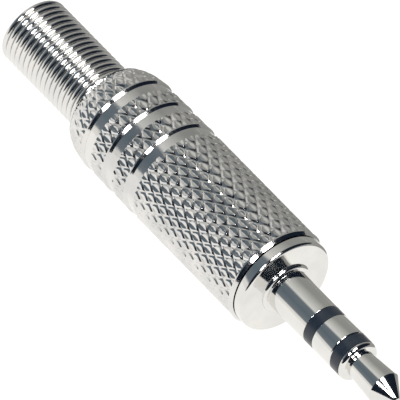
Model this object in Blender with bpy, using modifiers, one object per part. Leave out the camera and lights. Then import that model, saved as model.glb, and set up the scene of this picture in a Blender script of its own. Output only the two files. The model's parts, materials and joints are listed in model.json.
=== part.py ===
"""Stereo jack plug for a 3.5 mm socket, with a knurled barrel and a coil spring bend relief.

The plug lies on its barrel with its tip towards +X. Places along it are measured from the
flange's front face: positive towards the tip, negative towards the spring's end. Every piece
hangs on one empty on the plug's axis, whose +Z is the tip's direction and whose +X points down.
"""

import math

import bmesh
import bpy
from mathutils import Matrix

MM = 0.001
FULL_TURN = 2 * math.pi
MERGE = 0.001 * MM
SHARP_ANGLE = math.radians(25)

# Fits between pieces
RADIAL_FIT = 0.02 * MM
AXIAL_FIT = 0.02 * MM
THREAD_FIT = 0.05 * MM
LINER_FIT = 0.05 * MM
SPRING_FIT = 0.09 * MM
FLARE_FIT = 0.15 * MM
LUG_SPACE = 0.1 * MM

# Contact shaft, in the order in which the pieces follow from the flange to the tip
SHAFT_R = 1.75 * MM
SLEEVE_LENGTH = 4.52 * MM
RING_INSULATOR_WIDTH = 1.04 * MM
RING_WIDTH = 2.24 * MM
TIP_INSULATOR_WIDTH = 1.0 * MM
TIP_LENGTH = 5.1 * MM
CONTACT_EDGE = 0.12 * MM
STEM_R = 0.5 * MM
INSULATOR_WALL = 0.23 * MM
RING_TUBE_WALL = 0.23 * MM

# Tip, from its rear face forwards
TIP_LIP_LENGTH = 0.08 * MM
TIP_LIP_ROUND = 0.36 * MM
TIP_CORNER_R = 1.4 * MM
TIP_NECK_R = 1.18 * MM
TIP_NECK_AT = 0.5 * MM
TIP_BULB_R = 1.42 * MM
TIP_BULB_AT = 3.47 * MM
TIP_NOSE_R = 0.36 * MM
TIP_NOSE_LENGTH = 0.16 * MM
TIP_APEX_R = 0.2 * MM
TIP_APEX_LENGTH = 0.04 * MM
TIP_CURVE_STEPS = 4

# Flange and threaded boss of the sleeve contact
ROOT_FILLET_R = 0.5 * MM
ROOT_FILLET_STEPS = 3
FLANGE_STEP = 0.22 * MM
FLANGE_CHAMFER = 0.25 * MM
FLANGE_THICKNESS = 0.9 * MM
BOSS_LENGTH = 4.7 * MM
BOSS_CHAMFER = 0.3 * MM
UNDERCUT_DEPTH = 0.3 * MM
UNDERCUT_WIDTH = 0.4 * MM

# Spigot, rivet heads, lugs and the washers between them
SPIGOT_WALL = 0.33 * MM
STAKE_STEP = 0.15 * MM
STAKE_HEIGHT = 0.25 * MM
RIVET_STEP = 0.25 * MM
LUG_THICKNESS = 0.3 * MM
LUG_MARGIN = 0.3 * MM
LUG_SIDES = 24
TAB_ROOT_SIDES = 4
WASHER_THICKNESS = 0.5 * MM
TAB_WIDTH = 1.3 * MM
TAB_ANGLE = math.radians(115)
RING_TAB_LENGTH = 4.4 * MM
TIP_TAB_LENGTH = 3.8 * MM
SOLDER_HOLE_R = 0.35 * MM
SOLDER_HOLE_FROM_END = 0.9 * MM
DRILL_LENGTH = 1.2 * MM
GROUND_ARM_WIDTH = 1.6 * MM
CLAMP_TO_SPRING = 1.1 * MM
CLAMP_WING_WIDTH = 1.7 * MM
CLAMP_WING_SPACE = 0.35 * MM
CLAMP_WING_ANGLE = math.radians(120)
CLAMP_WING_STEPS = 6

# Barrel
BARREL_R = 4.32 * MM
BARREL_LENGTH = 21.5 * MM
BARREL_SEAM = 0.1 * MM
BARREL_CHAMFER = 0.35 * MM
BARREL_WALL = 0.87 * MM
THREAD_DEPTH = 0.2 * MM
THREAD_BORE_LENGTH = 5.0 * MM
SPRING_HOLE_LENGTH = 2.9 * MM
BARREL_LIP = 0.15 * MM
DOME_LENGTH = 2.5 * MM
DOME_STEPS = 5
GROOVE_COUNT = 3
GROOVE_WIDTH = 0.92 * MM
GROOVE_DEPTH = 0.3 * MM
GROOVE_SLOPE = 0.28 * MM
LAND_WIDTH = 1.5 * MM
REAR_LAND_WIDTH = 2.6 * MM

# Diamond knurl
KNURL_STARTS = 28
KNURL_LENGTH = 1.53 * MM
KNURL_HEIGHT = 0.18 * MM

# Insulating tube inside the barrel
LINER_WALL = 0.25 * MM
LINER_FRONT_SPACE = 0.3 * MM
LINER_TO_SPRING = 0.6 * MM

# Bend relief spring
WIRE_D = 0.5 * MM
COIL_PITCH = 0.547 * MM
SPRING_REACH = 9.8 * MM
FLARE_STEP = 0.39 * MM
FLARE_TURNS = 1.5
COIL_START_ANGLE = math.radians(-160)
TAPER_TURNS = 1.0
POINTS_PER_TURN = 12
WIRE_BEVEL_STEPS = 2

# Sides of the turned pieces
SHAFT_SIDES = 32
CORE_SIDES = 24
BARREL_SIDES = 2 * KNURL_STARTS

# Radii that follow from the walls and fits, from the stem outwards
TIP_TUBE_BORE_R = STEM_R + RADIAL_FIT
TIP_TUBE_R = TIP_TUBE_BORE_R + INSULATOR_WALL
RING_TUBE_BORE_R = TIP_TUBE_R + RADIAL_FIT
RING_TUBE_R = RING_TUBE_BORE_R + RING_TUBE_WALL
RING_SLEEVE_BORE_R = RING_TUBE_R + RADIAL_FIT
RING_SLEEVE_R = RING_SLEEVE_BORE_R + INSULATOR_WALL
SLEEVE_BORE_R = RING_SLEEVE_R + RADIAL_FIT
SPIGOT_R = SLEEVE_BORE_R + SPIGOT_WALL
STAKE_R = SPIGOT_R + STAKE_STEP
TIP_RIVET_R = STEM_R + RIVET_STEP
TIP_LUG_R = TIP_RIVET_R + LUG_MARGIN
TIP_TAB_AT = TIP_LUG_R + LUG_THICKNESS
RING_RIVET_R = RING_TUBE_R + RIVET_STEP
RING_TAB_AT = RING_RIVET_R + LUG_SPACE + LUG_THICKNESS
RING_LUG_R = RING_TAB_AT - LUG_THICKNESS / 2
GROUND_ARM_AT = STAKE_R + LUG_SPACE + LUG_THICKNESS
GROUND_LUG_R = GROUND_ARM_AT - LUG_THICKNESS / 2

# Radii that follow from the walls and fits, from the barrel's outside inwards
VALLEY_R = BARREL_R - KNURL_HEIGHT
GROOVE_R = BARREL_R - GROOVE_DEPTH
FLANGE_R = BARREL_R - FLANGE_STEP
FLANGE_FACE_R = FLANGE_R - FLANGE_CHAMFER
CHAMBER_R = BARREL_R - BARREL_WALL
THREAD_BORE_R = CHAMBER_R - THREAD_DEPTH
BOSS_R = THREAD_BORE_R - THREAD_FIT
LINER_R = CHAMBER_R - LINER_FIT
FLARE_R = CHAMBER_R - FLARE_FIT
SPRING_R = FLARE_R - FLARE_STEP
SPRING_HOLE_R = SPRING_R + SPRING_FIT
LIP_R = SPRING_HOLE_R + BARREL_LIP

# Places along the plug
RING_REAR = SLEEVE_LENGTH + RING_INSULATOR_WIDTH
TIP_INSULATOR_REAR = RING_REAR + RING_WIDTH
TIP_REAR = TIP_INSULATOR_REAR + TIP_INSULATOR_WIDTH
TIP_END = TIP_REAR + TIP_LENGTH
BOSS_END = -FLANGE_THICKNESS - BOSS_LENGTH
GROUND_LUG_FRONT = BOSS_END - AXIAL_FIT
STAKE_FRONT = GROUND_LUG_FRONT - LUG_THICKNESS - AXIAL_FIT
STAKE_END = STAKE_FRONT - STAKE_HEIGHT
RING_WASHER_FRONT = STAKE_END - AXIAL_FIT
RING_LUG_FRONT = RING_WASHER_FRONT - WASHER_THICKNESS - AXIAL_FIT
RING_RIVET_FRONT = RING_LUG_FRONT - LUG_THICKNESS - AXIAL_FIT
RING_TUBE_END = RING_RIVET_FRONT - STAKE_HEIGHT
TIP_WASHER_FRONT = RING_TUBE_END - AXIAL_FIT
TIP_LUG_FRONT = TIP_WASHER_FRONT - WASHER_THICKNESS - AXIAL_FIT
TIP_RIVET_FRONT = TIP_LUG_FRONT - LUG_THICKNESS - AXIAL_FIT
STEM_END = TIP_RIVET_FRONT - STAKE_HEIGHT
BARREL_FRONT = -FLANGE_THICKNESS - BARREL_SEAM
BARREL_END = BARREL_FRONT - BARREL_LENGTH
SHOULDER_AT = BARREL_END + SPRING_HOLE_LENGTH
THREAD_BORE_END = BARREL_FRONT - THREAD_BORE_LENGTH
LAST_GROOVE_END = BARREL_END + REAR_LAND_WIDTH
SPRING_END = BARREL_END - SPRING_REACH
SPRING_START = SHOULDER_AT + WIRE_D / 2 + (FLARE_TURNS + TAPER_TURNS) * COIL_PITCH
LINER_FRONT = THREAD_BORE_END - LINER_FRONT_SPACE
LINER_END = SPRING_START + LINER_TO_SPRING
CLAMP_END = SPRING_START + CLAMP_TO_SPRING

# The plug lies on two neighbouring rows of knurl crests, centred over the origin
HALF_STEP = math.pi / BARREL_SIDES
AXIS_HEIGHT = BARREL_R * math.cos(HALF_STEP)
FLANGE_FACE_X = -(TIP_END + SPRING_END) / 2


def clear_scene():
    """Remove the objects, meshes and curves that a new file starts with."""
    for obj in list(bpy.data.objects):
        bpy.data.objects.remove(obj)


def new_collection(name):
    collection = bpy.data.collections.new(name)
    bpy.context.scene.collection.children.link(collection)
    return collection


def new_material(name, colour, metallic, roughness):
    material = bpy.data.materials.new(name)
    material.use_nodes = True
    shader = material.node_tree.nodes["Principled BSDF"]
    shader.inputs["Base Color"].default_value = (*colour, 1.0)
    shader.inputs["Metallic"].default_value = metallic
    shader.inputs["Roughness"].default_value = roughness
    material.diffuse_color = (*colour, 1.0)
    return material


def place(name, data, material, collection):
    """A new object on the plug's axis."""
    obj = bpy.data.objects.new(name, data)
    data.materials.append(material)
    collection.objects.link(obj)
    obj.parent = AXIS
    return obj


def evaluated_mesh(obj):
    """The object's mesh with its modifiers worked in."""
    graph = bpy.context.evaluated_depsgraph_get()
    return bpy.data.meshes.new_from_object(obj.evaluated_get(graph))


def spun_mesh(name, outline, sides):
    """The mesh of a turned shape.

    The outline's points are (place, radius). They run from the front down the outer side to
    the rear, and back through the bore where there is one.
    """
    profile = bpy.data.meshes.new(name)
    points = [(radius, 0.0, along) for along, radius in outline]
    edges = [(i, i + 1) for i in range(len(points) - 1)]
    has_bore = min(radius for _, radius in outline) > 0
    if has_bore:
        edges.append((len(points) - 1, 0))
    profile.from_pydata(points, edges, [])
    turned = bpy.data.objects.new(name, profile)
    bpy.context.scene.collection.objects.link(turned)
    screw = turned.modifiers.new("turning", "SCREW")
    screw.axis = "Z"
    screw.angle = FULL_TURN
    screw.steps = sides
    screw.render_steps = sides
    screw.use_merge_vertices = True
    screw.merge_threshold = MERGE
    bpy.context.view_layer.update()
    mesh = evaluated_mesh(turned)
    bpy.data.objects.remove(turned)
    bpy.data.meshes.remove(profile)
    mesh.name = name
    mesh.shade_smooth()
    mesh.set_sharp_from_angle(angle=SHARP_ANGLE)
    return mesh


def turned_piece(name, outline, sides, material):
    return place(name, spun_mesh(name, outline, sides), material, PARTS)


def bored(outer, bore_r):
    """An outer side closed by a plain bore through the piece."""
    return outer + [(outer[-1][0], bore_r), (outer[0][0], bore_r)]


def make_tip_contact():
    """The tip, with the long stem that runs back through the plug and is riveted over its lug."""
    nose_base = TIP_END - TIP_NOSE_LENGTH
    neck = (TIP_REAR + TIP_NECK_AT, TIP_NECK_R)
    bulb = (TIP_REAR + TIP_BULB_AT, TIP_BULB_R)
    lip = TIP_REAR + TIP_LIP_LENGTH
    back = TIP_REAR + AXIAL_FIT
    outline = [(TIP_END, 0.0), (TIP_END - TIP_APEX_LENGTH, TIP_APEX_R)]
    outline += [(nose_base, TIP_NOSE_R), bulb, neck]
    for step in range(TIP_CURVE_STEPS + 1):
        turn = math.pi / 2 * step / TIP_CURVE_STEPS
        drop = (SHAFT_R - TIP_CORNER_R) * (1 - math.sin(turn))
        outline.append((lip + TIP_LIP_ROUND * math.cos(turn), SHAFT_R - drop))
    outline += [(back, SHAFT_R), (back, STEM_R), (TIP_RIVET_FRONT, STEM_R)]
    outline += [(TIP_RIVET_FRONT, TIP_RIVET_R), (STEM_END + STAKE_HEIGHT / 2, TIP_RIVET_R)]
    outline += [(STEM_END, TIP_RIVET_R / 2), (STEM_END, 0.0)]
    turned_piece("tip_contact", outline, SHAFT_SIDES, NICKEL)


def make_insulator(name, rear, width, bore_r, tube_r, tube_end):
    """A moulded collar between two contacts, with the tube that parts them inside the plug."""
    front = rear + width
    back = rear + AXIAL_FIT
    outer = [(front, SHAFT_R), (back, SHAFT_R), (back, tube_r), (tube_end, tube_r)]
    turned_piece(name, bored(outer, bore_r), SHAFT_SIDES, BLACK_PLASTIC)


def make_ring_contact():
    """The ring, with its tube riveted over the ring's lug."""
    front = RING_REAR + RING_WIDTH
    back = RING_REAR + AXIAL_FIT
    outer = [(front, SHAFT_R - CONTACT_EDGE), (front - CONTACT_EDGE, SHAFT_R), (back, SHAFT_R)]
    outer += [(back, RING_TUBE_R), (RING_RIVET_FRONT, RING_TUBE_R)]
    outer += [(RING_RIVET_FRONT, RING_RIVET_R), (RING_TUBE_END, RING_RIVET_R)]
    turned_piece("ring_contact", bored(outer, RING_TUBE_BORE_R), SHAFT_SIDES, NICKEL)


def make_sleeve_contact():
    """Shaft, flange, threaded boss and the spigot that is staked over the ground lug."""
    outer = [(SLEEVE_LENGTH, SHAFT_R)]
    for step in range(ROOT_FILLET_STEPS + 1):
        turn = math.pi / 2 * step / ROOT_FILLET_STEPS
        along = ROOT_FILLET_R * (1 - math.sin(turn))
        outer.append((along, SHAFT_R + ROOT_FILLET_R * (1 - math.cos(turn))))
    outer += [(0.0, FLANGE_FACE_R), (-FLANGE_CHAMFER, FLANGE_R), (-FLANGE_THICKNESS, FLANGE_R)]
    neck_r = BOSS_R - UNDERCUT_DEPTH
    thread_start = -FLANGE_THICKNESS - UNDERCUT_WIDTH
    outer += [(-FLANGE_THICKNESS, neck_r), (thread_start, neck_r), (thread_start, BOSS_R)]
    outer += [(BOSS_END + BOSS_CHAMFER, BOSS_R)]
    outer += [(BOSS_END, BOSS_R - BOSS_CHAMFER), (BOSS_END, SPIGOT_R), (STAKE_FRONT, SPIGOT_R)]
    outer += [(STAKE_FRONT, STAKE_R), (STAKE_END, STAKE_R)]
    turned_piece("sleeve_contact", bored(outer, SLEEVE_BORE_R), SHAFT_SIDES, NICKEL)


def make_washer(name, front, outer_r, bore_r):
    outer = [(front, outer_r), (front - WASHER_THICKNESS, outer_r)]
    turned_piece(name, bored(outer, bore_r), CORE_SIDES, FIBRE)


def annulus(bm, hole_r, ring_r, along):
    """A flat ring of faces, facing the tip."""
    rims = []
    for radius in (hole_r, ring_r):
        rim = bmesh.ops.create_circle(bm, segments=LUG_SIDES, radius=radius, cap_ends=False)["verts"]
        bmesh.ops.translate(bm, verts=rim, vec=(0, 0, along))
        rims.append(rim)
    bmesh.ops.bridge_loops(bm, edges=bm.edges[:])
    return rims


def extrude_edges(bm, edges, move):
    """Pull edges out into new faces. move gives each new point's place. Returns the far edges."""
    pulled = bmesh.ops.extrude_edge_only(bm, edges=edges)["geom"]
    far = {item for item in pulled if isinstance(item, bmesh.types.BMVert)}
    for vert in far:
        vert.co = move(vert.co)
    return [edge for edge in bm.edges if far.issuperset(edge.verts)]


def edges_where(edges, fits):
    """Those edges whose two ends both pass the test."""
    return [edge for edge in edges if all(fits(vert.co) for vert in edge.verts)]


def lug_sheet(hole_r, ring_r, front, tab_at, tab_width, stations):
    """The front skin of a stamped lug: a ring, and a tab bent back along the plug at +X."""
    bm = bmesh.new()
    annulus(bm, hole_r, ring_r, front)
    reach = FULL_TURN / LUG_SIDES * (TAB_ROOT_SIDES + 0.1) / 2
    rim = edges_where(
        bm.edges,
        lambda co: co.to_2d().length > (hole_r + ring_r) / 2 and abs(math.atan2(co.y, co.x)) < reach,
    )
    widest = max(vert.co.y for edge in rim for vert in edge.verts)
    shrink = tab_width / 2 / widest

    edges = extrude_edges(bm, rim, lambda co: (tab_at, co.y * shrink, co.z))
    for station in stations:
        edges = extrude_edges(bm, edges, lambda co, station=station: (co.x, co.y, station))
    return bm


def lug_piece(name, bm, angle, material):
    """Give the sheet its thickness, towards the plug's rear and its axis, and turn its tab."""
    bmesh.ops.recalc_face_normals(bm, faces=bm.faces[:])
    if sum(face.normal.z * face.calc_area() for face in bm.faces) < 0:
        bmesh.ops.reverse_faces(bm, faces=bm.faces[:])
    mesh = bpy.data.meshes.new(name)
    bm.to_mesh(mesh)
    bm.free()
    lug = place(name, mesh, material, PARTS)
    lug.rotation_euler.z = angle
    sheet = lug.modifiers.new("sheet", "SOLIDIFY")
    sheet.thickness = LUG_THICKNESS
    sheet.offset = -1
    sheet.use_even_offset = True
    sheet.use_quality_normals = True
    return lug


def drill_tab(lug, tab_at, tab_end):
    """The solder hole near a tab's end."""
    mesh = bpy.data.meshes.new(lug.name + "_hole")
    bm = bmesh.new()
    bmesh.ops.create_cone(
        bm,
        cap_ends=True,
        segments=LUG_SIDES // 2,
        radius1=SOLDER_HOLE_R,
        radius2=SOLDER_HOLE_R,
        depth=DRILL_LENGTH,
    )
    bm.to_mesh(mesh)
    bm.free()
    drill = bpy.data.objects.new(mesh.name, mesh)
    CUTTERS.objects.link(drill)
    drill.parent = lug
    drill.location = (tab_at - LUG_THICKNESS / 2, 0, tab_end + SOLDER_HOLE_FROM_END)
    drill.rotation_euler.y = math.pi / 2
    drill.hide_render = True
    drill.display_type = "WIRE"
    hole = lug.modifiers.new("solder hole", "BOOLEAN")
    hole.operation = "DIFFERENCE"
    hole.object = drill


def make_signal_lug(name, hole_r, ring_r, front, tab_at, tab_length, angle):
    """A lug with a solder hole near the end of its tab."""
    tab_end = front - tab_length
    bm = lug_sheet(hole_r, ring_r, front, tab_at, TAB_WIDTH, [tab_end])
    drill_tab(lug_piece(name, bm, angle, TINNED), tab_at, tab_end)


def make_ground_lug():
    """The sleeve's lug: a long arm with two staggered wings that clamp the cable."""
    wing_ends = [CLAMP_END]
    for width in (CLAMP_WING_WIDTH, CLAMP_WING_SPACE, CLAMP_WING_WIDTH):
        wing_ends.insert(0, wing_ends[0] + width)
    hole_r = SPIGOT_R + RADIAL_FIT
    bm = lug_sheet(
        hole_r, GROUND_LUG_R, GROUND_LUG_FRONT, GROUND_ARM_AT, GROUND_ARM_WIDTH, wing_ends
    )
    tiny = AXIAL_FIT / 10
    for side, front, back in ((1, wing_ends[0], wing_ends[1]), (-1, wing_ends[2], wing_ends[3])):
        edges = edges_where(
            bm.edges,
            lambda co: side * co.y > GROUND_ARM_WIDTH / 2 - tiny and back - tiny < co.z < front + tiny,
        )
        turn = Matrix.Rotation(side * CLAMP_WING_ANGLE / CLAMP_WING_STEPS, 3, "Z")
        for _ in range(CLAMP_WING_STEPS):
            edges = extrude_edges(bm, edges, lambda co: turn @ co)
    lug_piece("ground_lug", bm, 0.0, TINNED)


def barrel_bands():
    """The knurled stretches of the barrel's outer side, each a list of (place, valley radius)."""
    ends = []
    back = LAST_GROOVE_END + GROOVE_SLOPE
    for _ in range(GROOVE_COUNT):
        front = back + GROOVE_WIDTH
        ends.insert(0, (front + LAND_WIDTH, front))
        back = front + LAND_WIDTH + GROOVE_SLOPE
    ends[0] = (BARREL_FRONT - BARREL_CHAMFER, ends[0][1])
    bands = []
    for front, back in ends:
        rows = max(1, round((front - back) / (KNURL_LENGTH / 2)))
        bands.append([(front + (back - front) * row / rows, VALLEY_R) for row in range(rows + 1)])
    bands.append([(LAST_GROOVE_END, VALLEY_R)])
    for step in range(1, DOME_STEPS):
        turn = math.pi / 2 * step / DOME_STEPS
        along = BARREL_END + DOME_LENGTH * (1 - math.sin(turn))
        bands[-1].append((along, LIP_R + (VALLEY_R - LIP_R) * math.cos(turn)))
    return bands


def raise_knurl(mesh, bands):
    """Raise every second point of the bands, and crease their faces along the knurl's grooves."""
    rows = {}
    for number, band in enumerate(bands):
        for along, radius in band:
            rows[round(along / RADIAL_FIT)] = (number, len(rows), radius)
    bm = bmesh.new()
    bm.from_mesh(mesh)
    band_of = {}
    valleys = set()
    for vert in bm.verts:
        band, row, radius = rows.get(round(vert.co.z / RADIAL_FIT), (None, 0, 0.0))
        here = vert.co.to_2d()
        if band is None or abs(here.length - radius) > RADIAL_FIT / 2:
            continue
        band_of[vert] = band
        column = round(math.atan2(here.y, here.x) / (FULL_TURN / BARREL_SIDES))
        if (column + row) % 2:
            valleys.add(vert)
            continue
        growth = (radius + KNURL_HEIGHT) / radius
        vert.co.x *= growth
        vert.co.y *= growth
    for face in list(bm.faces):
        if len({band_of.get(vert, -1) for vert in face.verts}) > 1 or face.verts[0] not in band_of:
            continue
        low = [vert for vert in face.verts if vert in valleys]
        if len(low) == 2:
            bmesh.utils.face_split(face, low[0], low[1])
    bm.to_mesh(mesh)
    bm.free()


def make_barrel():
    """The knurled barrel: threaded bore, chamber for the lugs, and a hole for the spring."""
    bands = barrel_bands()
    outline = [(BARREL_FRONT, BARREL_R - BARREL_CHAMFER)]
    for band in bands[:-1]:
        back = band[-1][0]
        outline += band + [(back, GROOVE_R), (back - GROOVE_WIDTH, GROOVE_R)]
    outline += bands[-1]
    outline += [(BARREL_END, LIP_R), (BARREL_END, SPRING_HOLE_R), (SHOULDER_AT, SPRING_HOLE_R)]
    outline += [(SHOULDER_AT, CHAMBER_R), (THREAD_BORE_END, CHAMBER_R)]
    outline += [(THREAD_BORE_END, THREAD_BORE_R), (BARREL_FRONT, THREAD_BORE_R)]
    mesh = spun_mesh("barrel", outline, BARREL_SIDES)
    raise_knurl(mesh, bands)
    barrel = place("barrel", mesh, NICKEL, PARTS)
    barrel.rotation_euler.z = HALF_STEP


def make_liner():
    """The insulating tube that keeps the lugs off the barrel."""
    outer = [(LINER_FRONT, LINER_R), (LINER_END, LINER_R)]
    turned_piece("liner_tube", bored(outer, LINER_R - LINER_WALL), BARREL_SIDES, CLEAR_PLASTIC)


def spring_points():
    """The wire's centre line, from its flared end inside the barrel to its free end."""
    wire_r = WIRE_D / 2
    coil_r = SPRING_R - wire_r
    flare_r = FLARE_R - wire_r
    turns = (SPRING_START - (SPRING_END + wire_r)) / COIL_PITCH
    count = math.ceil(turns * POINTS_PER_TURN)
    points = []
    for number in range(count + 1):
        turn = turns * number / count
        share = min(max((turn - FLARE_TURNS) / TAPER_TURNS, 0.0), 1.0)
        radius = flare_r + (coil_r - flare_r) * share
        angle = COIL_START_ANGLE + turn * FULL_TURN
        along = SPRING_START - turn * COIL_PITCH
        points.append((radius * math.cos(angle), radius * math.sin(angle), along))
    return points


def make_spring():
    points = spring_points()
    curve = bpy.data.curves.new("bend_spring", "CURVE")
    curve.dimensions = "3D"
    curve.bevel_depth = WIRE_D / 2
    curve.bevel_resolution = WIRE_BEVEL_STEPS
    curve.use_fill_caps = True
    wire = curve.splines.new("POLY")
    wire.points.add(len(points) - 1)
    for point, co in zip(wire.points, points):
        point.co = (*co, 1.0)
    place("bend_spring", curve, NICKEL, PARTS)


clear_scene()
PARTS = new_collection("stereo_jack_plug")
CUTTERS = new_collection("cutters")
CUTTERS.hide_render = True
NICKEL = new_material("nickel_plate", (0.74, 0.73, 0.70), 1.0, 0.22)
TINNED = new_material("tinned_brass", (0.70, 0.69, 0.66), 1.0, 0.35)
BLACK_PLASTIC = new_material("black_plastic", (0.015, 0.02, 0.03), 0.0, 0.35)
FIBRE = new_material("fibre_washer", (0.10, 0.045, 0.02), 0.0, 0.6)
CLEAR_PLASTIC = new_material("liner_plastic", (0.80, 0.82, 0.80), 0.0, 0.4)

AXIS = bpy.data.objects.new("plug_axis", None)
PARTS.objects.link(AXIS)
AXIS.location = (FLANGE_FACE_X, 0.0, AXIS_HEIGHT)
AXIS.rotation_euler = (0.0, math.pi / 2, 0.0)
AXIS.empty_display_size = BARREL_R

make_tip_contact()
make_insulator(
    "tip_insulator",
    TIP_INSULATOR_REAR,
    TIP_INSULATOR_WIDTH,
    TIP_TUBE_BORE_R,
    TIP_TUBE_R,
    RING_TUBE_END,
)
make_ring_contact()
make_insulator(
    "ring_insulator",
    SLEEVE_LENGTH,
    RING_INSULATOR_WIDTH,
    RING_SLEEVE_BORE_R,
    RING_SLEEVE_R,
    STAKE_END,
)
make_sleeve_contact()
make_ground_lug()
make_washer("ring_lug_washer", RING_WASHER_FRONT, STAKE_R, RING_SLEEVE_BORE_R)
make_signal_lug(
    "ring_lug",
    RING_SLEEVE_BORE_R,
    RING_LUG_R,
    RING_LUG_FRONT,
    RING_TAB_AT,
    RING_TAB_LENGTH,
    TAB_ANGLE,
)
make_washer("tip_lug_washer", TIP_WASHER_FRONT, RING_RIVET_R, TIP_TUBE_BORE_R)
make_signal_lug(
    "tip_lug",
    TIP_TUBE_BORE_R,
    TIP_LUG_R,
    TIP_LUG_FRONT,
    TIP_TAB_AT,
    TIP_TAB_LENGTH,
    -TAB_ANGLE,
)
make_barrel()
make_liner()
make_spring()
bpy.context.view_layer.update()
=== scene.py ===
"""The finished look of a stereo jack plug: bright nickel shaft, knurled barrel and spring bend relief.

Places along the plug are metres from the flange's front face, positive towards the tip, as on a
turner's drawing. Radii are from the plug's axis, which runs along X.
"""

import json
import math

import bpy
from mathutils import Matrix, Vector


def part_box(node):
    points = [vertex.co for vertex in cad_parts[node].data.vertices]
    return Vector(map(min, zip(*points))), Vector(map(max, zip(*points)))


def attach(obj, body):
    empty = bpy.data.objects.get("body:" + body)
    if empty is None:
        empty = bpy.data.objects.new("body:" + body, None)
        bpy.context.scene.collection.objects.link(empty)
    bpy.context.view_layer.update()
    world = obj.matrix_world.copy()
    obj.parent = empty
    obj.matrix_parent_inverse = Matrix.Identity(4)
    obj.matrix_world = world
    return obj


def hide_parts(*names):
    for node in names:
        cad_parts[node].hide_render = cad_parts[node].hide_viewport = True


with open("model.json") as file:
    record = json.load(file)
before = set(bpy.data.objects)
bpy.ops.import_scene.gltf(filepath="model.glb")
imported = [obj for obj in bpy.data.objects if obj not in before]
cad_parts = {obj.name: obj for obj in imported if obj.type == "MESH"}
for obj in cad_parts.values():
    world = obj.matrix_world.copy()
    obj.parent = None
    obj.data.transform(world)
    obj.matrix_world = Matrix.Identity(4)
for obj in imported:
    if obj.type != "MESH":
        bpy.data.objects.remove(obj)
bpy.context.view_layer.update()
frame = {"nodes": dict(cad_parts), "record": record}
bpy.ops.object.select_all(action="DESELECT")

MM = 0.001
FULL_TURN = 2 * math.pi

# Distances under which points are merged
MERGE = 0.001 * MM
CUT_MERGE = MERGE / 100
SEAM_MERGE = MERGE * 2

# Places that come from the frame
FACE_X = frame["record"]["mounts"][0]["pos_m"][0]
TIP_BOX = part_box("tip_contact")
RING_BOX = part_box("ring_contact")
SLEEVE_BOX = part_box("sleeve_contact")
TIP_INSULATOR_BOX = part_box("tip_insulator")
RING_INSULATOR_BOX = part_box("ring_insulator")
BARREL_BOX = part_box("barrel")
SPRING_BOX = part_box("bend_spring")
AXIS_Z = (TIP_BOX[0].z + TIP_BOX[1].z) / 2
SHAFT_R = (TIP_BOX[1].z - TIP_BOX[0].z) / 2
SLEEVE_FRONT = SLEEVE_BOX[1].x - FACE_X
RING_FRONT = RING_BOX[1].x - FACE_X
RING_TUBE_END = RING_BOX[0].x - FACE_X
RING_INSULATOR_FRONT = RING_INSULATOR_BOX[1].x - FACE_X
RING_INSULATOR_END = RING_INSULATOR_BOX[0].x - FACE_X
TIP_INSULATOR_FRONT = TIP_INSULATOR_BOX[1].x - FACE_X
TIP_INSULATOR_END = TIP_INSULATOR_BOX[0].x - FACE_X
TIP_END = TIP_BOX[1].x - FACE_X
STEM_END = TIP_BOX[0].x - FACE_X
STAKE_END = SLEEVE_BOX[0].x - FACE_X
BARREL_FRONT = BARREL_BOX[1].x - FACE_X
BARREL_END = BARREL_BOX[0].x - FACE_X
SPRING_END = SPRING_BOX[0].x - FACE_X
SPRING_START = SPRING_BOX[1].x - FACE_X

# Sides of the turned pieces, their rounded edges, and the angles from which an edge stays sharp
SHAFT_SIDES = 128
WIDE_SIDES = 160
EDGE_ROUND = 0.03 * MM
EDGE_STEPS = 3
SHARP_ANGLE = 30
TIP_SHARP_ANGLE = 22
KNURL_SHARP_ANGLE = 35
WIRE_SHARP_ANGLE = 40

# Walls and fits of the contact stack
FIT = 0.02 * MM
STEM_R = 0.5 * MM
TUBE_WALL = 0.23 * MM
SPIGOT_WALL = 0.33 * MM
RIVET_STEP = 0.25 * MM
RIVET_CROWN_SHARE = 0.75
STAKE_STEP = 0.15 * MM
STAKE_HEIGHT = 0.25 * MM
CONTACT_EDGE = 0.12 * MM
INSULATOR_RELIEF = 0.01 * MM
TIP_TUBE_BORE_R = STEM_R + FIT
TIP_TUBE_R = TIP_TUBE_BORE_R + TUBE_WALL
RING_TUBE_BORE_R = TIP_TUBE_R + FIT
RING_TUBE_R = RING_TUBE_BORE_R + TUBE_WALL
RING_SLEEVE_BORE_R = RING_TUBE_R + FIT
RING_SLEEVE_R = RING_SLEEVE_BORE_R + TUBE_WALL
SLEEVE_BORE_R = RING_SLEEVE_R + FIT
SPIGOT_R = SLEEVE_BORE_R + SPIGOT_WALL

# Tip
LIP_LENGTH = 0.06 * MM
LIP_ROUND = 0.36 * MM
LIP_CORNER_R = 1.4 * MM
LIP_EDGE = 0.03 * MM
LIP_STEPS = 12
NECK_FROM_LIP = 0.42 * MM
NECK_R = 1.18 * MM
BULB_TO_END = 1.63 * MM
BULB_R = 1.42 * MM
BULB_ROUND = 0.03 * MM
BULB_FRONT_DROP = 0.025 * MM
BULB_BACK_DROP = 0.004 * MM
APEX_R = 0.36 * MM
APEX_LENGTH = 0.16 * MM

# Rounding of the apex: distances from its end, and the share of its radius that is reached there
APEX_ROUND = ((0.02 * MM, 0.4), (0.07 * MM, 0.75))

# Flange, boss and the collar at the shaft's root
COLLAR_R = 2.2 * MM
COLLAR_HEIGHT = 0.28 * MM
COLLAR_ROUND = 0.24 * MM
COLLAR_STEPS = 8
FLANGE_FACE_R = 3.85 * MM
FLANGE_R = 4.1 * MM
FLANGE_THICKNESS = 0.9 * MM
FLANGE_STEPS = 10
BOSS_R = 3.2 * MM
BOSS_LENGTH = 4.7 * MM
BOSS_CHAMFER = 0.3 * MM
UNDERCUT = 0.3 * MM
UNDERCUT_WIDTH = 0.4 * MM

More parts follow.
